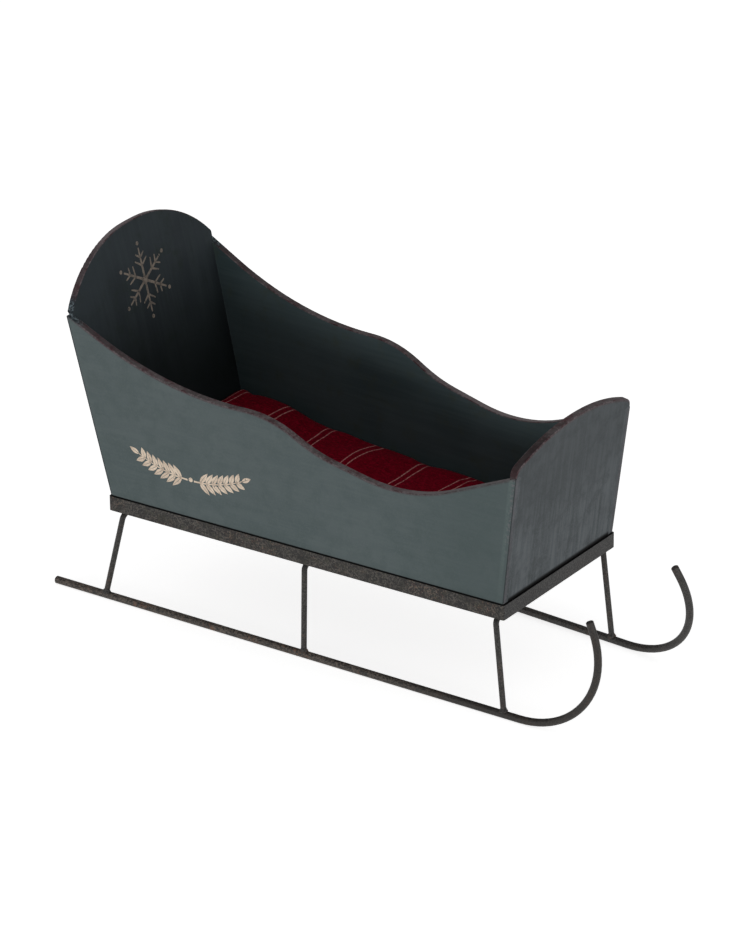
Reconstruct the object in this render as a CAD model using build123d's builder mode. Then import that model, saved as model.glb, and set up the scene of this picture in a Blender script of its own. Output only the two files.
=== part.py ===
from build123d import *
from math import asin, atan, cos, degrees, hypot, radians, sin
import os

# A doll's sleigh: an open box of painted boards standing in a tray of thin angle iron,
# carried by three wire hoops that are welded to two round-rod runners.
# Millimetres. +X is the way it travels, +Y its left side, +Z up. The runners rest on z = 0,
# and the origin is under the middle of the whole length.

# ---- tray of angle iron
tray_rear_x = -130.9
tray_front_x = 109.1
tray_half_rear = 59.6
tray_half_front = 50.4
tray_bottom_z = 53.3
tray_height = 8.1
iron_thickness = 0.9
flange_width = 7.0
rim_corner_radius = 1.2

# ---- boards of the box; a side board's front end is flush with the foot panel, and its rear end
# stands back from the head panel's face by rear_step, and by rear_slope more for each
# millimetre above the tray
board = 4.0
rear_step = 0.1
rear_slope = 0.012
floor_thickness = 4.0
fit_gap = 0.1
side_flare = 0.029
head_lean = 0.244
foot_lean = 0.125
worn_edge = 0.6

# ---- arched tops of the end panels: a crown arc, and an arc on each side that meets it smoothly.
# The head's arch was sawn a little to the left of the middle
arches = {
    # name: (top z, crown radius, half the crown's width, side radius, shoulder radius, crown's y,
    # set in at the right, set in at the left)
    "head_panel": (188.0, 168.0, 6.6, 70.5, 2.0, 1.0, 1.2, 2.6),
    "foot_panel": (148.6, 125.0, 25.0, 125.0, 5.0, 0.0, 0.1, 0.1),
}

# ---- top edge of a side board: corners x, z and the radius that rounds each
side_top_corners = (
    # x, z, radius
    (-93.1, 129.8, 182.0),
    (-29.3, 131.5, 58.4),
    (-1.8, 117.1, 73.6),
    (52.7, 105.5, 84.1),
)
side_top_rear = (-160.0, 163.1)
side_top_front = (135.0, 141.9)

# ---- rods
runner_radius = 2.0
leg_radius = 1.5
runner_tail_x = -168.7
hook_start_x = 119.7
hook_radius = 47.1
hook_sweep = 108.8
hook_tip_length = 6.0
rod_end_chamfer = 0.4
leg_bend_radius = 3.0
leg_inset = 2.0

# ---- hoops: where the legs stand on the runners and where they meet the tray
hoops = (
    # name, x at foot, x at tray
    ("hoop_rear", -136.4, -123.3),
    ("hoop_middle", -11.2, -11.1),
    ("hoop_front", 110.2, 103.0),
)

# ---- runners: hand bent, so each side has its own line and hook
rear_hoop_x = hoops[0][1]
front_hoop_x = hoops[2][1]
runners = (
    # name, y at the rear hoop, y at the front hoop, sideways tilt of the hook in degrees
    ("runner_right", -57.5, -52.1, -2.9),
    ("runner_left", 57.5, 46.9, -17.25),
)

# ---- cushion: its top sinks in a long hollow from the head to the foot
cushion_rear_z = 79.0
cushion_hollow_z = 73.5
cushion_front_z = 72.0
cushion_clearance = 0.8
cushion_lift = 0.3
cushion_corner = 6.0
cushion_edge = 3.5
upright_rise = 0.9

tray_top_z = tray_bottom_z + tray_height
flange_top_z = tray_bottom_z + iron_thickness
floor_top_z = flange_top_z + floor_thickness
box_inset = iron_thickness + fit_gap
box_rear_x = tray_rear_x + box_inset
box_front_x = tray_front_x - box_inset
box_taper = (tray_half_front - tray_half_rear) / (tray_front_x - tray_rear_x)
tray_middle_x = (tray_front_x + tray_rear_x) / 2
tray_half_middle = (tray_half_front + tray_half_rear) / 2
head_angle = atan(head_lean)
foot_angle = atan(foot_lean)


def tray_half(x):
    """Half the tray's outside width at a place along it."""
    return tray_half_middle + box_taper * (x - tray_middle_x)


def box_half(x, z):
    """Half the box's outside width: it narrows to the front and flares upwards."""
    return tray_half(x) - box_inset + side_flare * (z - tray_top_z)


def head_x(z):
    """Where the head panel's outer face stands at a height."""
    return box_rear_x - head_lean * (z - tray_top_z)


def foot_x(z):
    """Where the foot panel's outer face stands at a height."""
    return box_front_x + foot_lean * (z - tray_top_z)


def tray_corners(inset):
    """The tray's four plan corners moved inwards, anticlockwise from the rear right."""
    slant = inset * hypot(1, box_taper)
    rear = tray_rear_x + inset
    front = tray_front_x - inset
    return [
        (rear, slant - tray_half(rear)),
        (front, slant - tray_half(front)),
        (front, tray_half(front) - slant),
        (rear, tray_half(rear) - slant),
    ]


def runner_y(row, x):
    """The y of a runner's centre line at a place along it."""
    rear_y, front_y = row[1:3]
    share = (x - rear_hoop_x) / (front_hoop_x - rear_hoop_x)
    return rear_y + share * (front_y - rear_y)


def leaning_plane(base_x, lean, outward):
    """A plane across the sleigh that leans outwards as it rises from the top of the tray."""
    angle = atan(lean)
    return Plane(
        origin=(base_x, 0, tray_top_z),
        x_dir=(0, outward, 0),
        z_dir=(outward * cos(angle), 0, -sin(angle)),
    )


# ---- planes of the box: outer faces of the end panels, cut ends and outer faces of the side boards
head_face = leaning_plane(box_rear_x, head_lean, -1)
foot_face = leaning_plane(box_front_x, foot_lean, 1)
side_cuts = (
    leaning_plane(box_rear_x + rear_step, head_lean - rear_slope, -1),
    leaning_plane(box_front_x, foot_lean, 1),
)
side_faces = {
    name: Plane(
        origin=(0, side * box_half(0, tray_top_z), tray_top_z),
        x_dir=(-side, -box_taper, 0),
        z_dir=(-box_taper, side, -side_flare),
    )
    for name, side in (("side_right", -1), ("side_left", 1))
}

os.makedirs("parts", exist_ok=True)

# ---- tray rails: mitred lengths of angle iron, upright leaf outside, flange inwards
outer = tray_corners(0)
leaf_inside = tray_corners(iron_thickness)
flange_inside = tray_corners(flange_width)
with BuildSketch(Plane.XY.offset(tray_bottom_z)) as tray_outline:
    Polygon(*outer, align=None)
    fillet(tray_outline.vertices(), rim_corner_radius)
for index, name in enumerate(("tray_rail_right", "tray_rail_front", "tray_rail_left", "tray_rail_rear")):
    following = (index + 1) % 4
    leaf = [outer[index], outer[following], leaf_inside[following], leaf_inside[index]]
    flange = [outer[index], outer[following], flange_inside[following], flange_inside[index]]
    with BuildPart() as rail:
        with BuildSketch(Plane.XY.offset(tray_bottom_z)):
            Polygon(*leaf, align=None)
            add(tray_outline.sketch, mode=Mode.INTERSECT)
        extrude(amount=tray_height)
        with BuildSketch(Plane.XY.offset(tray_bottom_z)):
            Polygon(*flange, align=None)
            add(tray_outline.sketch, mode=Mode.INTERSECT)
        extrude(amount=iron_thickness)
    rail.part.label = name
    export_step(rail.part, f"parts/{name}.step")

# ---- side boards: one top curve with worn arrises, cut off near the end panels' outer faces
side_blanks = []
for name, face in side_faces.items():
    # the left board's plane looks the other way along the sleigh
    along = 1 if name == "side_right" else -1
    with BuildPart() as wall:
        with BuildSketch(face):
            with BuildLine():
                top = [side_top_rear] + [(x, z) for x, z, radius in side_top_corners] + [side_top_front]
                points = [(along * x, z - tray_top_z) for x, z in top]
                low = flange_top_z - tray_top_z
                FilletPolyline(*points, radius=[radius for x, z, radius in side_top_corners])
                Polyline(points[-1], (points[-1][0], low), (points[0][0], low), points[0])
            make_face()
        extrude(amount=-board)
        side_blanks.append(wall.part)
        for cut in side_cuts:
            split(bisect_by=cut, keep=Keep.BOTTOM)
        broad_edges = wall.faces().sort_by(SortBy.AREA)[-2:].edges()
        crest = broad_edges.filter_by(lambda edge: edge.bounding_box().min.Z > floor_top_z)
        rear_corner = wall.edges().sort_by(lambda edge: edge.center().Z)[-1:]
        fillet(crest + rear_corner, worn_edge)
    wall.part.label = name
    export_step(wall.part, f"parts/{name}.step")

# ---- end panels: they stand between the side boards, and their arched tops reach over them
panels = (
    # name, face plane, lean, x of the face by height
    ("head_panel", head_face, head_angle, head_x),
    ("foot_panel", foot_face, foot_angle, foot_x),
)
for name, face, lean, face_x in panels:
    apex_z, crown_radius, crown_half, side_radius, shoulder_radius = arches[name][:5]
    crown_y, set_in_right, set_in_left = arches[name][5:]
    # heights are measured along the leaning board, from the top of the tray
    apex = (apex_z - tray_top_z) / cos(lean)
    low = (flange_top_z - tray_top_z) / cos(lean)
    low_half = box_half(face_x(flange_top_z), flange_top_z)
    high_half = box_half(face_x(apex_z), apex_z)
    crown_turn = asin(crown_half / crown_radius)
    crown_angle = degrees(crown_turn)
    crown_height = apex - crown_radius
    side_offset = (crown_radius - side_radius) * sin(crown_turn)
    side_height = crown_height + (crown_radius - side_radius) * cos(crown_turn)
    reach = side_offset + side_radius
    base = low - reach
    # the head's plane looks the other way across the sleigh
    to_left = 1 if name == "foot_panel" else -1
    crown = crown_y * to_left
    panel_corners = [
        (to_left * (set_in_right - low_half), low),
        (to_left * (low_half - set_in_left), low),
        (to_left * (high_half - set_in_left), apex),
        (to_left * (set_in_right - high_half), apex),
    ]
    with BuildPart() as panel:
        with BuildSketch(face) as outline:
            with BuildLine():
                low_end, high_end = crown - reach, crown + reach
                side_sweep = 90 - crown_angle
                CenterArc((crown, crown_height), crown_radius, side_sweep, 2 * crown_angle)
                CenterArc((crown + side_offset, side_height), side_radius, 0, side_sweep)
                CenterArc((crown - side_offset, side_height), side_radius, 180 - side_sweep, side_sweep)
                Polyline((low_end, side_height), (low_end, base), (high_end, base), (high_end, side_height))
            make_face()
            Polygon(*panel_corners, align=None, mode=Mode.INTERSECT)
            shoulders = outline.vertices().group_by(Axis.X)
            fillet(shoulders[0].sort_by(Axis.Y)[-1:] + shoulders[-1].sort_by(Axis.Y)[-1:], shoulder_radius)
        extrude(amount=-board)
        broad_edges = panel.faces().sort_by(SortBy.AREA)[-2:].edges()
        fillet(broad_edges.filter_by(lambda edge: edge.center().Z > floor_top_z), worn_edge)
        for blank in side_blanks:
            add(blank, mode=Mode.SUBTRACT)
    panel.part.label = name
    export_step(panel.part, f"parts/{name}.step")

# ---- floor board, lying on the flanges between the walls
floor_rear = head_x(flange_top_z) + board / cos(head_angle) + fit_gap
floor_front = foot_x(flange_top_z) - board / cos(foot_angle) - fit_gap
wall_width = board * hypot(1, box_taper, side_flare) + fit_gap
floor_half_rear = box_half(floor_rear, flange_top_z) - wall_width
floor_half_front = box_half(floor_front, flange_top_z) - wall_width
with BuildPart() as floor_board:
    with BuildSketch(Plane.XY.offset(flange_top_z)):
        Polygon(
            (floor_rear, -floor_half_rear),
            (floor_front, -floor_half_front),
            (floor_front, floor_half_front),
            (floor_rear, floor_half_rear),
            align=None,
        )
    extrude(amount=floor_thickness)
floor_board.part.label = "floor_board"
export_step(floor_board.part, "parts/floor_board.step")

# ---- cushion: a plain pad lying loose on the floor board, cut to the box's leaning walls
cushion_low_z = floor_top_z + cushion_lift
with BuildPart() as cushion:
    with BuildSketch(Plane.XZ):
        with BuildLine():
            rear_end = (tray_rear_x, cushion_rear_z)
            front_end = (tray_front_x, cushion_front_z)
            ThreePointArc(rear_end, (tray_middle_x, cushion_hollow_z), front_end)
            Polyline(front_end, (tray_front_x, cushion_low_z), (tray_rear_x, cushion_low_z), rear_end)
        make_face()
    extrude(amount=tray_half_rear, both=True)
    for wall_face in (head_face, foot_face, *side_faces.values()):
        split(bisect_by=wall_face.offset(-board - cushion_clearance), keep=Keep.BOTTOM)
    corner_edges = cushion.edges().filter_by(lambda edge: abs(edge.tangent_at(0.5).Z) > upright_rise)
    fillet(corner_edges, cushion_corner)
    fillet(cushion.faces().sort_by(Axis.Z)[-1].edges(), cushion_edge)
cushion.part.label = "cushion"
export_step(cushion.part, "parts/cushion.step")

# ---- runners: a straight rod on the floor that curls up and back at the front
runner_parts = []
for row in runners:
    name, tilt = row[0], row[-1]
    tail = Vector(runner_tail_x, runner_y(row, runner_tail_x), runner_radius)
    hook_start = Vector(hook_start_x, runner_y(row, hook_start_x), runner_radius)
    forward = (hook_start - tail).normalized()
    leftward = Vector(0, 0, 1).cross(forward)
    upward = Vector(0, 0, 1) * cos(radians(tilt)) + leftward * sin(radians(tilt))

    def hook_point(swept):
        """A point of the hook's arc, by the degrees swept from the straight rod."""
        ahead = forward * (hook_radius * sin(radians(swept)))
        rise = upward * (hook_radius * (1 - cos(radians(swept))))
        return hook_start + ahead + rise

    hook_end = hook_point(hook_sweep)
    tip_direction = forward * cos(radians(hook_sweep)) + upward * sin(radians(hook_sweep))
    with BuildPart() as runner:
        with BuildLine() as route:
            Line(tail, hook_start)
            ThreePointArc(hook_start, hook_point(hook_sweep / 2), hook_end)
            Line(hook_end, hook_end + tip_direction * hook_tip_length)
        with BuildSketch(Plane(origin=tail, z_dir=forward)):
            Circle(runner_radius)
        sweep(path=route.line)
        rod_ends = runner.edges().filter_by(GeomType.CIRCLE).sort_by(Axis.X)
        tail_edge = rod_ends[0]
        tip_edge = rod_ends.sort_by(Axis.Z)[-1]
        chamfer([tail_edge, tip_edge], rod_end_chamfer)
    runner.part.label = name
    export_step(runner.part, f"parts/{name}.step")
    runner_parts.append(runner.part)

# ---- hoops: bent wire, its legs coped onto the runners and its bar under the tray
bar_z = tray_bottom_z - leg_radius
for name, foot_station, tray_station in hoops:
    right_y = runner_y(runners[0], foot_station)
    left_y = runner_y(runners[1], foot_station)
    top_half = tray_half(tray_station) - leg_inset
    corners = [
        (foot_station, right_y, runner_radius),
        (tray_station, -top_half, bar_z),
        (tray_station, top_half, bar_z),
        (foot_station, left_y, runner_radius),
    ]
    leg_start = Vector(*corners[0])
    leg_direction = Vector(*corners[1]) - leg_start
    with BuildPart() as hoop:
        with BuildLine() as route:
            FilletPolyline(*corners, radius=leg_bend_radius)
        with BuildSketch(Plane(origin=leg_start, z_dir=leg_direction)):
            Circle(leg_radius)
        sweep(path=route.line)
        for runner_part in runner_parts:
            add(runner_part, mode=Mode.SUBTRACT)
    hoop.part.label = name
    export_step(hoop.part, f"parts/{name}.step")
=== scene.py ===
from math import atan, copysign, cos, exp, hypot, pi, radians, sin

import bmesh
import bpy
from mathutils import Matrix, Vector, noise


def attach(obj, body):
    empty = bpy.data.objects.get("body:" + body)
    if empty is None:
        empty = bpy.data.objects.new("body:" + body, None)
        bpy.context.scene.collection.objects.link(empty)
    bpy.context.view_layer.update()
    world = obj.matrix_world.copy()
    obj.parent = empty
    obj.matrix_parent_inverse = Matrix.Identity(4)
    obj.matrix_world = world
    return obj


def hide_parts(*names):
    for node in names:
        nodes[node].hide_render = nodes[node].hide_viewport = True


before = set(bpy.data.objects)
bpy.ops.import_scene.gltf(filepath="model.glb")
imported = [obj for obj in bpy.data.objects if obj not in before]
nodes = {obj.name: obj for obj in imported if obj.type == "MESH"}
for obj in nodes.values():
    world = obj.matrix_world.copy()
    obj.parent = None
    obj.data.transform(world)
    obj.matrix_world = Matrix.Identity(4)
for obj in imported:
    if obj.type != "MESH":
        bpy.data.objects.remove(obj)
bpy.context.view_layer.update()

MM = 0.001
SLEIGH = "sleigh"
CUSHION = "cushion"

# ---------------------------------------------------------------- sizes of the solids, in millimetres
tray_rear_x = -130.9
tray_front_x = 109.1
tray_half_rear = 59.6
tray_half_front = 50.4
tray_bottom_z = 53.3
tray_top_z = 61.4
board = 4.0
box_inset = 1.0
floor_top_z = 58.2
side_flare = 0.029
head_lean = 0.244
foot_lean = 0.125
rear_step = 0.1
rear_slope = 0.012
runner_radius = 2.0
leg_radius = 1.5

box_rear_x = tray_rear_x + box_inset
box_front_x = tray_front_x - box_inset
box_taper = (tray_half_front - tray_half_rear) / (tray_front_x - tray_rear_x)
tray_middle_x = (tray_front_x + tray_rear_x) / 2
tray_half_middle = (tray_half_front + tray_half_rear) / 2


def tray_half(x):
    """Half the tray's width at x."""
    return tray_half_middle + box_taper * (x - tray_middle_x)


def box_half(x, z):
    """Half the width over the side boards' outer faces."""
    return tray_half(x) - box_inset + side_flare * (z - tray_top_z)


def inner_half(x, z):
    """Half the width between the side boards' inner faces."""
    return box_half(x, z) - board * hypot(1, box_taper, side_flare)


def head_inner_x(z):
    """Where the head panel's inner face is at height z."""
    return box_rear_x - head_lean * (z - tray_top_z) + board * hypot(1, head_lean)


def foot_inner_x(z):
    """Where the foot panel's inner face is at height z."""
    return box_front_x + foot_lean * (z - tray_top_z) - board * hypot(1, foot_lean)


# ---------------------------------------------------------------- node trees
FORWARD = (1.0, 0.0, 0.0)
LEFT = (0.0, 1.0, 0.0)
UP = (0.0, 0.0, 1.0)


def rgb(r, g, b):
    """A colour given as 0 to 255 display values, as the linear value that a socket takes."""
    linear = []
    for c in (r, g, b):
        c = c / 255
        linear.append(c / 12.92 if c <= 0.04045 else ((c + 0.055) / 1.055) ** 2.4)
    return (*linear, 1.0)


class Graph:
    """A material's node tree, built by short calls. Sockets and plain values can be mixed as inputs."""

    def __init__(self, name):
        self.material = bpy.data.materials.new(name)
        self.material.use_nodes = True
        self.tree = self.material.node_tree
        self.shader = self.tree.nodes["Principled BSDF"]
        coordinates = self.node("ShaderNodeTexCoord")
        self.place = coordinates.outputs["Object"]
        self.normal = coordinates.outputs["Normal"]

    def node(self, kind, settings=None, inputs=None):
        made = self.tree.nodes.new(kind)
        for key, value in (settings or {}).items():
            setattr(made, key, value)
        for key, value in (inputs or {}).items():
            self.give(made.inputs[key], value)
        return made

    def give(self, socket, value):
        if isinstance(value, bpy.types.NodeSocket):
            self.tree.links.new(value, socket)
        else:
            socket.default_value = value

    def set(self, **values):
        """Gives the shader's sockets their values; an underscore stands for a space."""
        for key, value in values.items():
            self.give(self.shader.inputs[key.replace("_", " ")], value)

    def math(self, operation, *values):
        made = self.node("ShaderNodeMath", {"operation": operation})
        for index, value in enumerate(values):
            self.give(made.inputs[index], value)
        return made.outputs[0]

    def times(self, first, second):
        return self.math("MULTIPLY", first, second)

    def blend(self, first, first_share, second, second_share):
        """The sum of two values, each by its share."""
        return self.math("ADD", self.times(first, first_share), self.times(second, second_share))

    def dot(self, vector, direction):
        made = self.node("ShaderNodeVectorMath", {"operation": "DOT_PRODUCT"})
        self.give(made.inputs[0], vector)
        self.give(made.inputs[1], direction)
        return made.outputs["Value"]

    def along(self, direction):
        """How far the place lies along a direction, in millimetres."""
        return self.math("DIVIDE", self.dot(self.place, direction), MM)

    def rise(self, value, low, high, out_low=0.0, out_high=1.0):
        """A smooth step of value from low to high."""
        made = self.node("ShaderNodeMapRange", {"interpolation_type": "SMOOTHSTEP"})
        for key, given in (("Value", value), ("From Min", low), ("From Max", high),
                           ("To Min", out_low), ("To Max", out_high)):
            self.give(made.inputs[key], given)
        return made.outputs["Result"]

    def noise(self, per_mm, detail=3.0, roughness=0.55, distortion=0.0, shift=0.0):
        """Noise with so many features to a millimetre, in all or along x, y and z."""
        if isinstance(per_mm, float):
            per_mm = (per_mm, per_mm, per_mm)
        scale = [value / MM for value in per_mm]
        mapping = self.node("ShaderNodeMapping", None, {
            "Vector": self.place, "Scale": scale, "Location": (shift, shift, shift)})
        made = self.node("ShaderNodeTexNoise", None, {
            "Vector": mapping.outputs["Vector"], "Scale": 1.0, "Detail": detail,
            "Roughness": roughness, "Distortion": distortion})
        return made.outputs["Fac"]

    def mix(self, share, first, second):
        made = self.node("ShaderNodeMix", {"data_type": "RGBA"})
        self.give(made.inputs["Factor"], share)
        colour_inputs = [s for s in made.inputs if s.type == "RGBA"]
        self.give(colour_inputs[0], first)
        self.give(colour_inputs[1], second)
        return [s for s in made.outputs if s.type == "RGBA"][0]

    def cover(self, under, over, value, low, high, share):
        """Lays the colour over on under, where value rises from low to high, by share at the most."""
        return self.mix(self.times(self.rise(value, low, high), share), under, over)

    def bump(self, height, distance_mm, strength=1.0):
        made = self.node("ShaderNodeBump", None, {
            "Height": height, "Distance": distance_mm * MM, "Strength": strength})
        self.set(Normal=made.outputs["Normal"])


def near(g, points, low, high):
    """1 within low millimetres of one of the points, falling to 0 at high."""
    share = 0.0
    for point in points:
        away = g.node("ShaderNodeVectorMath", {"operation": "DISTANCE"})
        g.give(away.inputs[0], g.place)
        g.give(away.inputs[1], [value * MM for value in point])
        share = g.math("MAXIMUM", share, g.rise(away.outputs["Value"], high * MM, low * MM))
    return share


# ---------------------------------------------------------------- paint on the boards
# the colours of wear, dirt and painted shade, as pairs of a dark and a light one where they vary
crest_rubbed = rgb(78, 72, 74), rgb(96, 90, 92)
edge_grey = rgb(106, 99, 100)
edge_red = rgb(88, 65, 68)
edge_stain = rgb(70, 64, 64)
edge_dust = rgb(142, 128, 130)
edge_darker_at_head = rgb(58, 46, 50)
arris_red = rgb(70, 46, 50), rgb(100, 85, 87)
arris_pale = rgb(88, 80, 82), rgb(122, 113, 115)
corner_rubbed = rgb(44, 50, 54), rgb(108, 120, 126)
bare = rgb(152, 140, 142)
soiled = rgb(44, 32, 34)
panel_side = rgb(66, 70, 73)
# painted shade low inside the box
painted_inside_shade = rgb(20, 26, 24)
# near black: painted shadow in the gap where the boards stand in the tray
painted_tray_shadow = rgb(8, 9, 9)
front_shade = rgb(76, 88, 88)
pale_strip = rgb(104, 118, 116)
strip_rubbed = rgb(128, 122, 126)
end_rubbed = rgb(108, 102, 107)
thin_arris = rgb(52, 56, 58)
# x and z of the box's top corners at the head and the foot, which hands and knocks wear most
top_corner_places = ((-153.0, 160.0), (114.5, 111.5))
top_corners = [(x, side * box_half(x, z), z) for side in (-1, 1) for x, z in top_corner_places]
corner_wear_full = 6.0
corner_wear_end = 13.0


def brushed(g, look):
    """Brushed matt paint of an outer face. Gives its colour, its big blotches, its strokes and how far
    the pale strokes show."""
    shift, grain = look["shift"], look["grain"]
    blotch = g.noise(0.022, detail=2.0, roughness=0.5, shift=shift)
    cloud = g.noise(0.12, detail=3.0, roughness=0.6, shift=shift + 7)
    fleck = g.noise(1.0, detail=2.0, roughness=0.7, shift=shift + 19)
    strokes = g.noise(grain, detail=3.0, roughness=0.6, shift=shift + 3)
    wide_grain = [value * 0.32 for value in grain]
    wide_strokes = g.noise(wide_grain, detail=2.0, roughness=0.5, shift=shift + 13)
    pale_share = g.blend(strokes, 0.55, wide_strokes, 0.45)
    tone = g.mix(g.rise(blotch, 0.35, 0.65), look["low"], look["high"])
    tone = g.cover(tone, look["pale"], pale_share, 0.36, 0.64, look["streak"])
    tone = g.cover(tone, look["dull"], cloud, 0.42, 0.7, look["cloud"])
    tone = g.cover(tone, look["pale"], fleck, 0.46, 0.66, look["fleck"])
    return tone, blotch, strokes, pale_share


def board_paint(name, outward, look):
    """Matt paint on a thin board: brushed outside, darker inside with painted shade, rubbed on its edges
    and arrises.
    outward is the outer face's direction."""
    g = Graph(name)
    shift = look["shift"]
    facing = g.dot(g.normal, outward)
    turned = g.math("ABSOLUTE", facing)
    outside = g.rise(facing, 0.80, 0.97)
    on_face = g.rise(turned, 0.93, 0.998)
    on_arris = g.rise(turned, 0.12, 0.5)
    height = g.math("SUBTRACT", g.along(UP), tray_top_z)
    specks = g.noise(1.3, detail=2.0, roughness=0.7, shift=shift + 29)
    fine = g.noise(0.7, detail=3.0, roughness=0.7, shift=shift + 53)

    # both faces
    tone, blotch, strokes, pale_share = brushed(g, look)
    if "crown_dull" in look:
        low, high, share = look["crown_dull"]
        tone = g.cover(tone, look["dull"], height, low, high, share)
    moss = g.noise(0.11, detail=4.0, roughness=0.65, shift=shift + 23)
    # the inner face: colours darkened with painted shade, darker on the end panels than on the side boards
    inner = g.mix(g.rise(blotch, 0.35, 0.65), look["inner_low"], look["inner_high"])
    inner = g.cover(inner, look["inner_pale"], pale_share, 0.4, 0.65, 0.35)
    inner = g.cover(inner, look["inner_moss"], moss, 0.5, 0.72, 0.4)
    # painted shade: the inner face darkens towards the bottom of the box
    if "inner_shade" in look:
        inner = g.cover(inner, painted_inside_shade, height, 95.0, 35.0, look["inner_shade"])
    skin = g.mix(outside, inner, tone)
    # hands have rubbed the outer face just below its crest, where a rounded normal would tilt upwards
    rounded = g.node("ShaderNodeBevel", {"samples": 12}, {"Radius": look["rub"] * MM})
    plain = g.node("ShaderNodeNewGeometry")
    tilt = g.math("SUBTRACT", g.dot(rounded.outputs["Normal"], UP), g.dot(plain.outputs["Normal"], UP))
    rubbed = g.times(g.rise(tilt, 0.04, 0.18), outside)
    skin = g.mix(rubbed, skin, g.mix(g.rise(fine, 0.4, 0.68), *crest_rubbed))

    # the edge between them, darker round the head
    patches = g.noise(0.16, detail=4.0, roughness=0.65, shift=shift + 41)
    stains = g.noise(0.05, detail=3.0, roughness=0.6, shift=shift + 47)
    edge = g.mix(g.rise(patches, 0.44, 0.62), edge_grey, edge_red)
    edge = g.cover(edge, edge_stain, stains, 0.5, 0.64, 0.55)
    edge = g.cover(edge, edge_dust, fine, 0.5, 0.68, 0.5)
    edge = g.cover(edge, edge_darker_at_head, g.along(FORWARD), -85.0, -135.0, 0.62)
    # handling has bared or soiled a stretch of it
    direction, start, end, share, handled = look["handled"]
    edge = g.cover(edge, handled, g.along(direction), start, end, share)
    arris = g.mix(g.rise(patches, 0.4, 0.62), g.mix(g.rise(fine, 0.4, 0.68), *arris_pale),
                  g.mix(g.rise(fine, 0.45, 0.7), *arris_red))
    edge = g.mix(on_arris, edge, arris)
    chipped = near(g, top_corners, corner_wear_full, corner_wear_end)
    edge = g.mix(chipped, edge, g.mix(g.rise(fine, 0.48, 0.62), *corner_rubbed))
    colour = g.mix(on_face, edge, skin)

    if "ends" in look:
        colour = look["ends"](g, colour, fine, outward)
    else:
        # an end panel's side edges are painted where the side boards cover them
        sideways = g.rise(g.math("ABSOLUTE", g.dot(g.normal, LEFT)), 0.85, 0.97)
        colour = g.cover(colour, panel_side, height, look["covered"], look["covered"] - 3.0, sideways)
    # painted shadow: each board darkens to near black towards its foot, in the gap by the tray
    colour = g.mix(g.rise(height, look["tray_shadow"], look["tray_shadow"] * 0.36), colour, painted_tray_shadow)

    g.set(Base_Color=colour, Specular_IOR_Level=0.1)
    matt = g.math("ADD", pale_share, g.times(specks, 0.3))
    g.set(Roughness=g.rise(matt, 0.3, 0.95, 0.52, 0.74))
    g.bump(g.blend(strokes, 0.8, specks, 0.25), 0.06, 0.55)
    return g.material


def side_ends(g, colour, fine, outward):
    """Near a side board's cut ends: a paler strip on the outer face, a thin dark arris, and a cut end
    that is brushed over with the end panel's paint."""
    face_point = Vector((0.0, copysign(box_half(0.0, tray_top_z), outward[1]), tray_top_z))
    inwards = g.math("SUBTRACT", face_point.dot(outward), g.along(outward))
    height = g.along(UP)
    colour = g.cover(colour, front_shade, g.along(FORWARD), 40.0, 95.0, 0.4)
    for base_x, lean, way, panel, share in (
            (box_rear_x + rear_step, head_lean - rear_slope, -1.0, head_look, 0.1),
            (box_front_x, foot_lean, 1.0, foot_look, 0.5)):
        slope = hypot(1, lean)
        normal = (way / slope, 0.0, -lean / slope)
        # millimetres back from the cut end
        depth = g.math("SUBTRACT", (way * base_x - lean * tray_top_z) / slope, g.along(normal))
        strip = g.times(g.rise(depth, 4.6, 3.4), g.rise(depth, 1.2, 2.6))
        strip = g.times(strip, g.rise(fine, 0.25, 0.6))
        strip = g.times(strip, g.rise(height, 58.0, 100.0, 0.3, 1.0))
        colour = g.mix(g.times(strip, share), colour, pale_strip)
        rubbed = g.times(g.rise(depth, 3.4, 1.4), g.rise(fine, 0.48, 0.62))
        rubbed = g.times(rubbed, g.rise(height, 82.0, 104.0))
        colour = g.mix(g.times(rubbed, share), colour, strip_rubbed)
        on_end = g.rise(g.dot(g.normal, normal), 0.7, 0.95)
        end_tone = brushed(g, panel)[0]
        bright = g.times(g.rise(inwards, 3.8, 1.0), g.rise(fine, 0.3, 0.6))
        end_tone = g.mix(g.times(bright, 0.4), end_tone, end_rubbed)
        colour = g.mix(on_end, colour, end_tone)
        arris = g.times(g.rise(depth, 0.8, 0.4), g.math("SUBTRACT", 1.0, on_end))
        colour = g.mix(g.times(arris, 0.85), colour, thin_arris)
    return colour


def dress(node_name, material):
    """Gives a CAD node's object one material in each of its slots."""
    slots = nodes[node_name].material_slots
    if not slots:
        nodes[node_name].data.materials.append(material)
    for slot in slots:
        slot.material = material


side_slope = hypot(1, box_taper, side_flare)
head_slope = hypot(1, head_lean)
foot_slope = hypot(1, foot_lean)
outward_faces = {
    "side_right": (-box_taper / side_slope, -1 / side_slope, -side_flare / side_slope),
    "side_left": (-box_taper / side_slope, 1 / side_slope, -side_flare / side_slope),
    "head_panel": (-1 / head_slope, 0.0, -head_lean / head_slope),
    "foot_panel": (1 / foot_slope, 0.0, -foot_lean / foot_slope),
}
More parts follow.
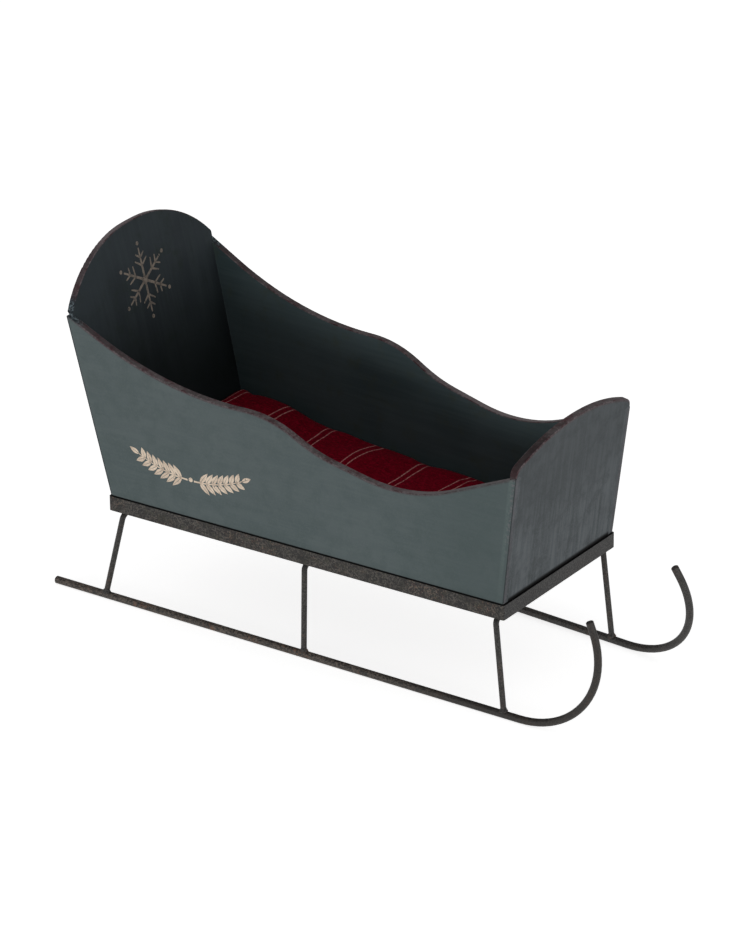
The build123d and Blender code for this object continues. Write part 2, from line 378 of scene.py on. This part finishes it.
# a look's entries:
# low, high, pale, dull: the outer paint's colours; inner_...: the inner face's colours, darkened with
# painted shade
# streak, cloud, fleck, inner_shade: shares of the pale strokes, dull clouds, pale flecks and the painted
# shade low inside
# crown_dull: height where the dull crown starts, height where it is full, its share
# handled: direction, where the handled edge starts, where it is full, its share and its colour
# grain: noise per millimetre along x, y and z; shift: the noise's offset, so that no two boards are alike
# rub: width in millimetres of the rubbed crest; tray_shadow: height in millimetres of the painted shadow
# by the tray
# covered: height below which a side board covers the panel's side edge; ends: paint near the cut ends
side_look = {
    "low": rgb(86, 97, 98), "high": rgb(92, 102, 103), "pale": rgb(101, 111, 111), "dull": rgb(82, 93, 93),
    "inner_low": rgb(64, 79, 82), "inner_high": rgb(74, 88, 91), "inner_pale": rgb(85, 99, 101),
    "inner_moss": rgb(74, 82, 68), "streak": 0.4, "cloud": 0.5, "fleck": 0.3,
    "grain": (0.035, 0.0, 0.7), "rub": 1.8, "tray_shadow": 0.7, "ends": side_ends,
}
panel_look = {
    "low": rgb(71, 76, 78), "high": rgb(82, 87, 90), "pale": rgb(108, 113, 116), "dull": rgb(68, 72, 74),
    "inner_low": rgb(42, 48, 52), "inner_high": rgb(50, 57, 61), "inner_pale": rgb(62, 70, 72),
    "inner_moss": rgb(38, 47, 40), "inner_shade": 0.6, "streak": 0.8, "cloud": 0.6, "fleck": 0.3,
    "crown_dull": (25.0, 58.0, 0.5), "grain": (0.0, 0.55, 0.035), "rub": 2.6, "tray_shadow": 3.2,
}
head_look = {**panel_look, "covered": 100.0, "shift": 42.3, "handled": (UP, 181.0, 187.5, 0.6, bare)}
foot_look = {**panel_look, "covered": 50.0, "shift": 61.6, "handled": (LEFT, -14.0, -36.0, 0.8, soiled)}
looks = {
    "side_right": {**side_look, "shift": 3.7, "handled": (FORWARD, 25.0, 75.0, 0.55, bare)},
    "side_left": {**side_look, "shift": 23.0, "handled": (FORWARD, -25.0, 40.0, 0.6, bare)},
    "head_panel": head_look,
    "foot_panel": foot_look,
}
for name, outward in outward_faces.items():
    dress(name, board_paint(f"paint_{name}", outward, looks[name]))

# ---------------------------------------------------------------- the bare floor board
g = Graph("floor_wood")
grain = g.noise((0.03, 0.9, 0.9), detail=4.0, roughness=0.6)
figure = g.noise((0.012, 0.16, 0.16), detail=2.0, roughness=0.5, distortion=0.8, shift=9.0)
wood = g.mix(g.rise(figure, 0.35, 0.65), rgb(52, 38, 34), rgb(70, 52, 44))
g.set(Base_Color=g.mix(g.rise(grain, 0.35, 0.7), wood, rgb(38, 29, 27)), Specular_IOR_Level=0.3)
g.set(Roughness=g.rise(grain, 0.3, 0.7, 0.6, 0.8))
g.bump(grain, 0.1, 0.5)
dress("floor_board", g.material)


# ---------------------------------------------------------------- the iron
def iron(name, look):
    """Brown-black iron paint with soot, speckled rust and bright specks in it; where the look asks,
    painted shade on upward faces and a darkening along one direction.
    """
    g = Graph(name)
    shift = look["shift"]
    blotch = g.noise(0.05, detail=3.0, roughness=0.6, shift=shift)
    cloud = g.noise(0.22, detail=3.0, roughness=0.6, shift=shift + 31)
    grain = g.noise(1.1, detail=2.0, roughness=0.75, shift=shift + 5)
    red = g.noise(0.6, detail=3.0, roughness=0.7, shift=shift + 11)
    olive = g.noise(0.3, detail=3.0, roughness=0.6, shift=shift + 17)
    rust_zone = g.rise(blotch, look["rust_from"], look["rust_from"] + 0.14)
    tone = g.mix(g.rise(grain, 0.4, 0.6), look["dark"], look["light"])
    tone = g.cover(tone, look["dark"], cloud, 0.46, 0.64, look["soot"])
    tone = g.cover(tone, look["red"], red, 0.5, 0.62, g.times(rust_zone, look["rust"]))
    tone = g.cover(tone, look["olive"], olive, 0.52, 0.66, look["olive_share"])
    spark_share = g.times(g.math("MAXIMUM", rust_zone, 0.25), look["spark"])
    tone = g.cover(tone, look["orange"], grain, 0.57, 0.65, spark_share)
    # painted shade: upward faces go near black, standing for the light that does not fall from above
    if "top" in look:
        upward_shade = g.rise(g.dot(g.normal, UP), 0.5, 0.9)
        tone = g.mix(upward_shade, tone, look["top"])
    # the look's darkening along one direction: on the hoops it is painted shadow under the tray
    if "sooty" in look:
        direction, start, end, share = look["sooty"]
        tone = g.cover(tone, look["dark"], g.along(direction), start, end, share)
    g.set(Base_Color=tone, Specular_IOR_Level=0.25)
    g.set(Roughness=g.rise(grain, 0.3, 0.75, 0.42, 0.68))
    g.bump(g.blend(grain, 0.7, red, 0.6), 0.09, 0.6)
    return g.material


# spark, rust, soot and olive_share are shares; rust_from is where the rust's noise starts to show;
# darkening: direction, where the darkening starts in millimetres, where it is full, its share; on the
# hoops it is painted shadow under the tray
iron_look = {
    "dark": rgb(28, 27, 26), "light": rgb(84, 81, 77), "red": rgb(72, 50, 46), "olive": rgb(58, 58, 47),
    "orange": rgb(146, 120, 100), "olive_share": 0.4, "spark": 0.4, "soot": 0.75,
}
# the rails' upward faces are painted near black as painted shade
rail_look = {**iron_look, "top": rgb(12, 11, 11)}
rails = {
    # name: (shift, share of rust, where rust starts)
    "tray_rail_right": (2.0, 0.45, 0.45),
    "tray_rail_front": (23.0, 0.25, 0.56),
    "tray_rail_left": (37.0, 0.6, 0.42),
    "tray_rail_rear": (51.0, 0.5, 0.45),
}
for name, (shift, rust, start) in rails.items():
    look = {**rail_look, "shift": shift, "rust": rust, "rust_from": start}
    if name == "tray_rail_front":
        look.update(light=rgb(74, 73, 72), dark=rgb(18, 18, 18), olive_share=0.05, spark=0.2, soot=0.3)
    dress(name, iron(f"iron_{name}", look))
rod_look = {
    **iron_look, "dark": rgb(38, 37, 36), "light": rgb(76, 74, 72), "red": rgb(90, 66, 52),
    "olive_share": 0.15, "spark": 0.1, "soot": 0.35, "rust": 0.6, "rust_from": 0.46,
}
rods = {
    # name: (shift, share of rust)
    "runner_right": (61.0, 0.8),
    "runner_left": (74.0, 0.35),
    "hoop_rear": (87.0, 0.4),
    "hoop_middle": (100.0, 0.4),
    "hoop_front": (113.0, 0.25),
}
for name, (shift, rust) in rods.items():
    look = {**rod_look, "shift": shift, "rust": rust}
    if name.startswith("hoop"):
        # painted shadow: the legs darken towards their tops, under the tray
        look["sooty"] = (UP, 44.0, 51.0, 0.8)
    elif name == "runner_right":
        # the right runner: paler and redder, and darker towards the front
        look.update(light=rgb(106, 97, 90), red=rgb(108, 80, 64), sooty=(FORWARD, 10.0, 100.0, 0.75))
    dress(name, iron(f"iron_{name}", look))


# ---------------------------------------------------------------- new pieces
def piece(name, vertices, faces, material, body, smooth=True):
    """A mesh piece that rides on a body. Its vertices are in millimetres in the shared frame."""
    mesh = bpy.data.meshes.new(name)
    mesh.from_pydata([Vector(v) * MM for v in vertices], [], faces)
    mesh.validate()
    made = bpy.data.objects.new(name, mesh)
    bpy.context.scene.collection.objects.link(made)
    made.data.materials.append(material)
    for polygon in mesh.polygons:
        polygon.use_smooth = smooth
    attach(made, body)
    return made


# the rods' places, as in the solids
hoops = (
    # x at the foot, x at the tray; rear, middle, front
    (-136.4, -123.3),
    (-11.2, -11.1),
    (110.2, 103.0),
)
runners = (
    # y at the rear hoop, y at the front hoop; right, left
    (-57.5, -52.1),
    (57.5, 46.9),
)
leg_inset = 2.0
bar_z = tray_bottom_z - leg_radius


def runner_y(row, x):
    """A runner's middle line at x; row is its line in runners."""
    share = (x - hoops[0][0]) / (hoops[2][0] - hoops[0][0])
    return row[0] + share * (row[1] - row[0])


collar_sides = 20
lumps_per_mm = 0.9


def collar(vertices, faces, base, axis, profile, seed, lump):
    """Adds a closed, lumpy turned shape: profile lists (height along the axis, radius) in millimetres."""
    sides = collar_sides
    axis = Vector(axis).normalized()
    across = axis.orthogonal().normalized()
    other = axis.cross(across)
    first = len(vertices)
    for height, radius in profile:
        for k in range(sides):
            turn = 2 * pi * k / sides
            out = across * cos(turn) + other * sin(turn)
            point = Vector(base) + axis * height + out * radius
            wobble = noise.noise(point * lumps_per_mm + Vector((seed, seed, seed))) * lump
            vertices.append(point + out * wobble)
    rings = len(profile)
    for ring in range(rings - 1):
        for k in range(sides):
            a = first + ring * sides + k
            b = first + ring * sides + (k + 1) % sides
            faces.append((a, b, b + sides, a + sides))
    faces.append(tuple(first + k for k in reversed(range(sides))))
    faces.append(tuple(first + (rings - 1) * sides + k for k in range(sides)))


# ---- weld beads: a lumpy collar where each leg stands on its runner
weld_profile = [(0.3, 1.35), (1.0, 1.95), (1.75, 2.35), (2.3, 2.1), (2.8, 1.78), (3.4, 1.58), (3.9, 1.42)]
weld_lump = 0.22
weld_vertices, weld_faces = [], []
for index, (foot_x, tray_x) in enumerate(hoops):
    for side, row in zip((-1, 1), runners):
        foot = Vector((foot_x, runner_y(row, foot_x), runner_radius))
        top = Vector((tray_x, side * (tray_half(tray_x) - leg_inset), bar_z))
        collar(weld_vertices, weld_faces, foot, top - foot, weld_profile, 3.1 * index + side, weld_lump)
weld_material = iron("iron_weld", {**rod_look, "shift": 171.0, "rust": 0.9, "rust_from": 0.4})
piece("weld_beads", weld_vertices, weld_faces, weld_material, SLEIGH)

# ---- pan-head screws that hold the box in the tray, from below
screw_inset = 3.9
screw_sunk = 0.2
screw_stations = (-96.0, -44.0, 36.0, 80.0)
# the head's rim, its crown, and the hollow of its driver
screw_profile = [(0.0, 1.9), (0.45, 1.9), (0.75, 1.75), (1.0, 1.4), (1.15, 0.9), (1.2, 0.5), (0.75, 0.35)]
screw_lump = 0.03
screw_vertices, screw_faces = [], []
for station in screw_stations:
    for side in (-1, 1):
        head = Vector((station, side * (tray_half(station) - screw_inset), tray_bottom_z + screw_sunk))
        collar(screw_vertices, screw_faces, head, (0, 0, -1), screw_profile, station, screw_lump)
screw_material = iron("iron_screw", {**rod_look, "shift": 191.0, "light": rgb(96, 92, 88)})
piece("tray_screws", screw_vertices, screw_faces, screw_material, SLEIGH)


# ---------------------------------------------------------------- the cushion
pad_low_z = floor_top_z + 0.3
pad_seam_z = 67.5
pad_gap = 0.5
pad_rear_x = head_inner_x(pad_seam_z) + pad_gap
pad_front_x = foot_inner_x(pad_seam_z) - pad_gap
pad_columns = 84
pad_rows = 44
# how far the cover curves in from the walls, and how squarely
pad_edge = 2.6
pad_squareness = 2.4
# how far a corner is drawn in, and within how far of it
corner_pull = 1.0
corner_reach = 9.0
# millimetres back for each one above the seam, at the rear end
pad_lean = 0.08
# the pad's level, and how it climbs to the head
pad_level = 71.8
climb_height = 10.8
climb_rear_x = -128.0
climb_length = 45.0
puffs = (
    # height, x of the middle, width
    (3.1, -95.0, 19.0),
    (1.1, -55.0, 8.0),
    (0.6, -25.0, 8.0),
    (0.5, 22.0, 18.0),
    (-1.2, -3.0, 6.0),
)
# the crown across the pad: its height anywhere, and how it swells near the head (height, x, width)
crown_half_width = 52.0
crown_height = 0.6
head_crown = (2.2, -96.0, 20.0)
# a low ridge on each side of the middle (height, x, width along, y, width across)
ridges = (3.0, -36.0, 14.0, 26.0, 16.0)


def bell(value, middle, width):
    return exp(-((value - middle) / width) ** 2)


def pad_top(x, y):
    """The loose pad's own top: it climbs to the head, is puffed unevenly and crowned across."""
    level = pad_level + climb_height * exp((climb_rear_x - max(x, climb_rear_x)) / climb_length)
    for height, middle, width in puffs:
        level += height * bell(x, middle, width)
    height, middle, width = head_crown
    crown = crown_height + height * bell(x, middle, width)
    height, middle, width, ridge_y, ridge_width = ridges
    crown += height * bell(x, middle, width) * bell(abs(y), ridge_y, ridge_width)
    return level + crown * max(0.0, 1 - (y / crown_half_width) ** 2)


def pad_point(s, t, upper):
    """A point of the pad's cover; s and t run from -1 to 1 along its length and width."""
    x = (pad_rear_x + pad_front_x) / 2 + s * (pad_front_x - pad_rear_x) / 2
    half = inner_half(x, pad_seam_z) - pad_gap
    y = t * half
    to_end = min(x - pad_rear_x, pad_front_x - x)
    to_side = half - abs(y)
    # the cover curves down to its seam near the walls
    rise = 1.0
    for distance in (to_end, to_side):
        share = max(0.0, min(1.0, distance / pad_edge))
        rise *= (1 - (1 - share) ** pad_squareness) ** (1 / pad_squareness)
    limit = pad_top(x, y) if upper else pad_low_z
    z = pad_seam_z + (limit - pad_seam_z) * rise
    # the rear end leans back a little, towards the head panel
    if s < 0:
        x -= pad_lean * max(0.0, z - pad_seam_z) * s * s
    pull = corner_pull * max(0.0, 1 - hypot(to_end, to_side) / corner_reach)
    return x - pull * s, y - pull * t, z


def pad_mesh():
    """A closed crowned form inside the box's walls, as vertices and faces."""
    vertices, faces = [], []
    for upper in (True, False):
        first = len(vertices)
        for i in range(pad_columns + 1):
            for j in range(pad_rows + 1):
                vertices.append(pad_point(-cos(pi * i / pad_columns), -cos(pi * j / pad_rows), upper))
        for i in range(pad_columns):
            for j in range(pad_rows):
                a = first + i * (pad_rows + 1) + j
                quad = (a, a + pad_rows + 1, a + pad_rows + 2, a + 1)
                faces.append(quad if upper else tuple(reversed(quad)))
    return vertices, faces


stripe_pairs = (-121.8, -90.8, -62.4, -33.4, -2.2, 26.0, 55.5, 85.0)
stripe_gap = 4.2
stripe_half_width = 0.38
stripe_blur = 0.16
stripe_drift = 4.0
stripe_waver = 0.4
stripe_places = [pair + side * stripe_gap / 2 for pair in stripe_pairs for side in (-1, 1)]
thread = 0.55
weave_dark, weave_light = rgb(100, 0, 20), rgb(140, 2, 32)
pile_red = rgb(166, 5, 42)
slub_red = rgb(66, 0, 14)
cloud_red = rgb(128, 1, 24)
stripe_dark, stripe_light = rgb(160, 90, 92), rgb(218, 152, 146)


def fabric():
    """Wine-red plain weave with pairs of thin pale stripes across the pad."""
    g = Graph("fabric_cushion")
    drift = g.math("SUBTRACT", g.noise(0.04, detail=1.0), 0.5)
    waver = g.math("SUBTRACT", g.noise(0.8, detail=1.0, shift=5.0), 0.5)
    slub = g.noise((0.35, 1.4, 1.4), detail=3.0, roughness=0.7, shift=3.0)
    cloud = g.noise(0.05, detail=3.0, roughness=0.6, shift=8.0)
    pile = g.noise(0.75, detail=2.0, roughness=0.8, shift=21.0)
    thin = g.noise(1.2, detail=2.0, shift=2.0)
    # the place along the pad, as its threads wander
    along = g.math("ADD", g.along(FORWARD), g.blend(drift, stripe_drift, waver, stripe_waver))
    stripes = 0.0
    for place in stripe_places:
        away = g.math("ABSOLUTE", g.math("SUBTRACT", along, place))
        stripe = g.rise(away, stripe_half_width + stripe_blur, stripe_half_width - stripe_blur)
        stripes = g.math("MAXIMUM", stripes, stripe)
    warp = g.math("SINE", g.times(along, 2 * pi / thread))
    weft = g.math("SINE", g.times(g.along(LEFT), 2 * pi / thread))
    weave = g.times(warp, weft)
    red = g.mix(g.rise(weave, -0.8, 0.8), weave_dark, weave_light)
    red = g.cover(red, pile_red, pile, 0.48, 0.6, 0.8)
    red = g.cover(red, slub_red, slub, 0.48, 0.66, 0.7)
    red = g.cover(red, cloud_red, cloud, 0.4, 0.7, 0.35)
    pale = g.mix(g.rise(thin, 0.35, 0.6), stripe_dark, stripe_light)
    colour = g.mix(g.times(stripes, g.rise(thin, 0.2, 0.45, 0.55, 1.0)), red, pale)
    g.set(Base_Color=colour, Roughness=0.95, Specular_IOR_Level=0.03)
    g.set(Sheen_Weight=0.02, Sheen_Roughness=0.5)
    g.bump(g.math("ADD", g.times(weave, 0.5), slub), 0.12, 0.6)
    return g.material


def inside_walls(point, gap):
    """The point in millimetres, moved back between the box's walls where it has left them."""
    z = max(point.z, pad_low_z)
    half = inner_half(point.x, z) - gap
    y = max(-half, min(half, point.y))
    x = max(head_inner_x(z) + gap, min(foot_inner_x(z) - gap, point.x))
    return Vector((x, y, z))


cushion_material = fabric()
pad_vertices, pad_faces = pad_mesh()
pad = piece("cushion_pad", pad_vertices, pad_faces, cushion_material, CUSHION)
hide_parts("cushion")
# the cover's two halves are one closed mesh
working = bmesh.new()
working.from_mesh(pad.data)
bmesh.ops.remove_doubles(working, verts=working.verts, dist=0.02 * MM)
bmesh.ops.recalc_face_normals(working, faces=working.faces)
working.to_mesh(pad.data)
working.free()


def apply_modifiers(target):
    """Puts the evaluated mesh in place of the object's own, and takes its modifiers away."""
    graph = bpy.context.evaluated_depsgraph_get()
    result = bpy.data.meshes.new_from_object(target.evaluated_get(graph))
    target.modifiers.clear()
    target.data = result


puff_voxel = 2.5
puff_frames = 20
puff_most = 1.6
puffed_gap = 0.25
smoothed_gap = 0.2


def puff(target):
    """Fills the pad with air for a moment as a cloth, so that its cover strains and creases a little."""
    remesh = target.modifiers.new("remesh", "REMESH")
    remesh.mode = "VOXEL"
    remesh.voxel_size = puff_voxel * MM
    apply_modifiers(target)
    rest = [v.co.copy() for v in target.data.vertices]
    cloth = target.modifiers.new("cloth", "CLOTH")
    cloth.settings.quality = 6
    cloth.settings.mass = 0.15
    cloth.settings.use_pressure = True
    cloth.settings.uniform_pressure_force = 4.0
    cloth.settings.tension_stiffness = 12.0
    cloth.settings.compression_stiffness = 12.0
    cloth.settings.bending_stiffness = 0.4
    cloth.settings.shrink_min = -0.03
    cloth.settings.effector_weights.gravity = 0.0
    cloth.point_cache.frame_start = 1
    cloth.point_cache.frame_end = puff_frames
    for number in range(1, puff_frames + 1):
        bpy.context.scene.frame_set(number)
    apply_modifiers(target)
    bpy.context.scene.frame_set(1)
    for vertex, before in zip(target.data.vertices, rest):
        move = (vertex.co - before) / MM
        if move.length > puff_most:
            move *= puff_most / move.length
        vertex.co = inside_walls(before / MM + move, puffed_gap) * MM


puff(pad)
smoother = pad.modifiers.new("subdivision", "SUBSURF")
smoother.levels = smoother.render_levels = 1
apply_modifiers(pad)
for vertex in pad.data.vertices:
    vertex.co = inside_walls(vertex.co / MM, smoothed_gap) * MM
for polygon in pad.data.polygons:
    polygon.use_smooth = True
if not pad.data.materials:
    pad.data.materials.append(cushion_material)


# ---------------------------------------------------------------- plain printed ornaments
def print_paint(name, ink, ink_dark, ground, shift, wear):
    """Dry printing ink, broken where it is rubbed so that the board's paint shows."""
    g = Graph(name)
    fine = g.noise(1.1, detail=4.0, roughness=0.7, shift=shift)
    coarse = g.noise(0.25, detail=2.0, roughness=0.5, shift=shift + 4)
    inked = g.mix(g.rise(coarse, 0.35, 0.65), ink, ink_dark)
    gone = g.times(g.rise(fine, wear, wear + 0.06), g.rise(coarse, 0.35, 0.55))
    g.set(Base_Color=g.mix(gone, inked, ground), Roughness=0.6, Specular_IOR_Level=0.3)
    return g.material


# the ink film's height over the board, and how deep it reaches in
film = 0.06
film_root = 0.03


class Plate:
    """Flat shapes laid as a thin film of ink on a board's face, drawn in millimetres right and up."""

    def __init__(self, origin, right, up, out):
        self.origin, self.right, self.up, self.out = (Vector(v) for v in (origin, right, up, out))
        self.vertices, self.faces = [], []

    def shape(self, outline):
        count = len(outline)
        first = len(self.vertices)
        for height in (-film_root, film):
            for u, v in outline:
                self.vertices.append(self.origin + self.right * u + self.up * v + self.out * height)
        self.faces.append(tuple(first + k for k in reversed(range(count))))
        self.faces.append(tuple(first + count + k for k in range(count)))
        for k in range(count):
            a, b = first + k, first + (k + 1) % count
            self.faces.append((a, b, b + count, a + count))

    def leaf(self, base, angle, length, width, seed, vein=0.16):
        """Two lens-shaped halves, each vein away from the middle line at the base, where no ink is."""
        steps = 9
        for side in (1, -1):
            inner, outer = [], []
            for k in range(steps + 1):
                s = k / steps
                bare_width = vein * (1 - 0.7 * s)
                ragged = 1 + 0.16 * noise.noise(Vector((s * 9 + seed, seed * 1.7, side * 3.0)))
                inner.append((length * s, side * bare_width))
                outer.append((length * s, side * (bare_width + width * sin(pi * s ** 0.8) * ragged)))
            outline = inner + outer[-2:0:-1]
            if side < 0:
                outline.reverse()
            self.shape([(base[0] + u * cos(angle) - v * sin(angle),
                         base[1] + u * sin(angle) + v * cos(angle)) for u, v in outline])

    def strip(self, points, widths):
        """A tapered stroke along points, with its width at each."""
        left, right = [], []
        for k, (u, v) in enumerate(points):
            before = points[max(k - 1, 0)]
            after = points[min(k + 1, len(points) - 1)]
            du, dv = after[0] - before[0], after[1] - before[1]
            size = hypot(du, dv)
            nu, nv = -dv / size * widths[k] / 2, du / size * widths[k] / 2
            left.append((u + nu, v + nv))
            right.append((u - nu, v - nv))
        self.shape(right + left[::-1])

    def dot(self, centre, radius, seed):
        """A slightly ragged round spot."""
        outline = []
        sides = 14
        for k in range(sides):
            turn = 2 * pi * k / sides
            r = radius * (1 + 0.12 * noise.noise(Vector((cos(turn) * 2 + seed, sin(turn) * 2, seed))))
            outline.append((centre[0] + r * cos(turn), centre[1] + r * sin(turn)))
        self.shape(outline)


def garland(plate, span, seed):
    """Two small laurel twigs that spread from the middle, with one bead between them."""
    steps = 8
    tip_angle = atan(15.0 / span)
    for side in (1, -1):
        stem = []
        for k in range(steps + 1):
            s = k / steps
            stem.append((side * (2.0 + span * s), -3.0 + 7.5 * s * s))
        widths = [0.95 - 0.55 * k / steps for k in range(steps + 1)]
        plate.strip(stem if side > 0 else stem[::-1], widths if side > 0 else widths[::-1])
        for k in range(1, steps):
            direction = atan(15.0 * (k / steps) / span)
            length = 8.4 - 0.35 * k
            for leaning in (0.85, -0.85):
                angle = direction + leaning
                if side < 0:
                    angle = pi - angle
                plate.leaf(stem[k], angle, length, 1.35, seed + k * 3.1 + leaning + side, vein=0.12)
        plate.leaf(stem[-1], tip_angle if side > 0 else pi - tip_angle, 6.0, 1.25, seed + 71 + side)
    plate.dot((0.0, -2.6), 1.25, seed)


def star(plate, size, seed):
    """A plain six-armed snow star."""
    arms = 6
    # share of the arm's length where a pair of twigs leaves it, and the twigs' share of that length
    twigs = ((0.45, 0.34), (0.7, 0.24))
    for arm in range(arms):
        turn = pi / 2 + arm * 2 * pi / arms
        c, s = cos(turn), sin(turn)
        plate.strip([(c * 1.6, s * 1.6), (c * size * 0.6, s * size * 0.6), (c * size, s * size)],
                    [1.5, 1.3, 0.9])
        for share, length in twigs:
            for leaning in (0.95, -0.95):
                base = (c * size * share, s * size * share)
                cl, sl = cos(turn + leaning), sin(turn + leaning)
                reach = size * length
                plate.strip([base, (base[0] + cl * reach * 0.6, base[1] + sl * reach * 0.6),
                             (base[0] + cl * reach, base[1] + sl * reach)], [1.1, 1.0, 0.7])
        plate.dot((c * size * 1.14, s * size * 1.14), 1.1, seed + arm)
    plate.dot((0, 0), 2.2, seed)


side_print_x, side_print_z = -79.0, 86.0
side_print_span = 30.0
side_ink = rgb(240, 220, 198), rgb(222, 201, 180)
side_ground = rgb(86, 97, 98)
for name, side in (("side_print_right", -1), ("side_print_left", 1)):
    out = Vector(outward_faces[name.replace("print_", "")])
    right = Vector((-side, 0, 0))
    right = (right - out * right.dot(out)).normalized()
    up = out.cross(right)
    if up.z < 0:
        up = -up
    centre = (side_print_x, side * box_half(side_print_x, side_print_z), side_print_z)
    plate = Plate(centre, right, up, out)
    garland(plate, side_print_span, 5.0 + side)
    ink = print_paint(f"ink_{name}", *side_ink, side_ground, 5.0 + side, 0.6)
    piece(name, plate.vertices, plate.faces, ink, SLEIGH, smooth=False)

head_print_z = 157.0
head_star_size = 17.5
head_ink = rgb(132, 121, 110), rgb(112, 103, 94)
# the head panel's inner colour, darkened with painted shade, where the ink is rubbed off
head_ground = rgb(36, 42, 44)
head_in = Vector((1 / head_slope, 0, head_lean / head_slope))
head_up = Vector((-head_lean / head_slope, 0, 1 / head_slope))
plate = Plate((head_inner_x(head_print_z), 0, head_print_z), (0, 1, 0), head_up, head_in)
star(plate, head_star_size, 3.0)
ink = print_paint("ink_head", *head_ink, head_ground, 13.0, 0.56)
piece("head_print", plate.vertices, plate.faces, ink, SLEIGH, smooth=False)

# ---------------------------------------------------------------- floor, light and camera
# half the floor's side, in metres
floor_reach = 6.0
floor_mesh = bpy.data.meshes.new("floor")
floor_corners = [(x * floor_reach, y * floor_reach, 0) for x, y in ((-1, -1), (1, -1), (1, 1), (-1, 1))]
floor_mesh.from_pydata(floor_corners, [], [(0, 1, 2, 3)])
floor = bpy.data.objects.new("floor", floor_mesh)
bpy.context.scene.collection.objects.link(floor)
# a white floor that keeps the shadow; its own glow is only for the camera and for reflections
floor_glow = 0.75
g = Graph("floor_white")
g.set(Base_Color=(0.9, 0.9, 0.9, 1.0), Roughness=0.9, Specular_IOR_Level=0.1)
path = g.node("ShaderNodeLightPath")
seen = g.math("MAXIMUM", path.outputs["Is Camera Ray"],
              g.math("MAXIMUM", path.outputs["Is Glossy Ray"], path.outputs["Is Transmission Ray"]))
white = g.node("ShaderNodeEmission", None, {
    "Color": (1, 1, 1, 1), "Strength": g.times(seen, floor_glow)})
blend = g.node("ShaderNodeAddShader")
g.tree.links.new(g.shader.outputs["BSDF"], blend.inputs[0])
g.tree.links.new(white.outputs["Emission"], blend.inputs[1])
output = g.tree.nodes["Material Output"]
g.tree.links.new(blend.outputs["Shader"], output.inputs["Surface"])
floor.data.materials.append(g.material)

# the world lights plainly, and is plain white where the camera sees it
world_strength = 0.34
world = bpy.data.worlds.new("studio")
bpy.context.scene.world = world
world.use_nodes = True
world_tree = world.node_tree
background = world_tree.nodes["Background"]
backdrop = world_tree.nodes.new("ShaderNodeBackground")
for node, strength in ((background, world_strength), (backdrop, 1.0)):
    node.inputs["Color"].default_value = (1.0, 1.0, 1.0, 1.0)
    node.inputs["Strength"].default_value = strength
world_path = world_tree.nodes.new("ShaderNodeLightPath")
either = world_tree.nodes.new("ShaderNodeMath")
either.operation = "MAXIMUM"
world_tree.links.new(world_path.outputs["Is Camera Ray"], either.inputs[0])
world_tree.links.new(world_path.outputs["Is Transmission Ray"], either.inputs[1])
world_mix = world_tree.nodes.new("ShaderNodeMixShader")
for index, output in enumerate((either, background, backdrop)):
    world_tree.links.new(output.outputs[0], world_mix.inputs[index])
world_tree.links.new(world_mix.outputs[0], world_tree.nodes["World Output"].inputs["Surface"])


lamp_aim = Vector((0.0, 0.0, 0.08))


def softbox(name, place, width, height, watts):
    """A flat area lamp at place that looks at the sleigh; in metres and watts."""
    lamp = bpy.data.lights.new(name, "AREA")
    lamp.shape = "RECTANGLE"
    lamp.size = width
    lamp.size_y = height
    lamp.energy = watts
    holder = bpy.data.objects.new(name, lamp)
    bpy.context.scene.collection.objects.link(holder)
    holder.location = place
    holder.rotation_euler = (lamp_aim - Vector(place)).to_track_quat("-Z", "Y").to_euler()


softbox("key", (-0.4, -1.7, 0.22), 1.8, 0.4, 10.5)
softbox("fill", (1.7, -0.3, 0.14), 1.2, 0.3, 9.0)

# the photo's camera: angles in degrees, distance in metres, the rest in pixels of the photo
camera_azimuth, camera_elevation, camera_roll = 35.457, 25.526, -0.659
camera_target = Vector((-2.80, 0.0, 86.36)) * MM
camera_distance = 2.9611
focal_pixels, image_width, image_height = 5801.0, 750, 938
axis_pixel = (377.38, 470.43)
azimuth, elevation = radians(camera_azimuth), radians(camera_elevation)
back = Vector((sin(azimuth) * cos(elevation), -cos(azimuth) * cos(elevation), sin(elevation)))
right = Vector((0, 0, 1)).cross(back).normalized()
up = back.cross(right)
roll = radians(camera_roll)
right, up = right * cos(roll) + up * sin(roll), up * cos(roll) - right * sin(roll)
lens = bpy.data.cameras.new("camera")
lens.sensor_width = 36.0
lens.lens = focal_pixels * lens.sensor_width / image_height
lens.shift_x = (image_width / 2 - axis_pixel[0]) / image_height
lens.shift_y = (axis_pixel[1] - image_height / 2) / image_height
lens.clip_start, lens.clip_end = 0.1, 50.0
camera = bpy.data.objects.new("camera", lens)
bpy.context.scene.collection.objects.link(camera)
turn = Matrix((right, up, back)).transposed().to_4x4()
camera.matrix_world = Matrix.Translation(camera_target + back * camera_distance) @ turn
bpy.context.scene.camera = camera
bpy.context.scene.view_settings.view_transform = "Standard"
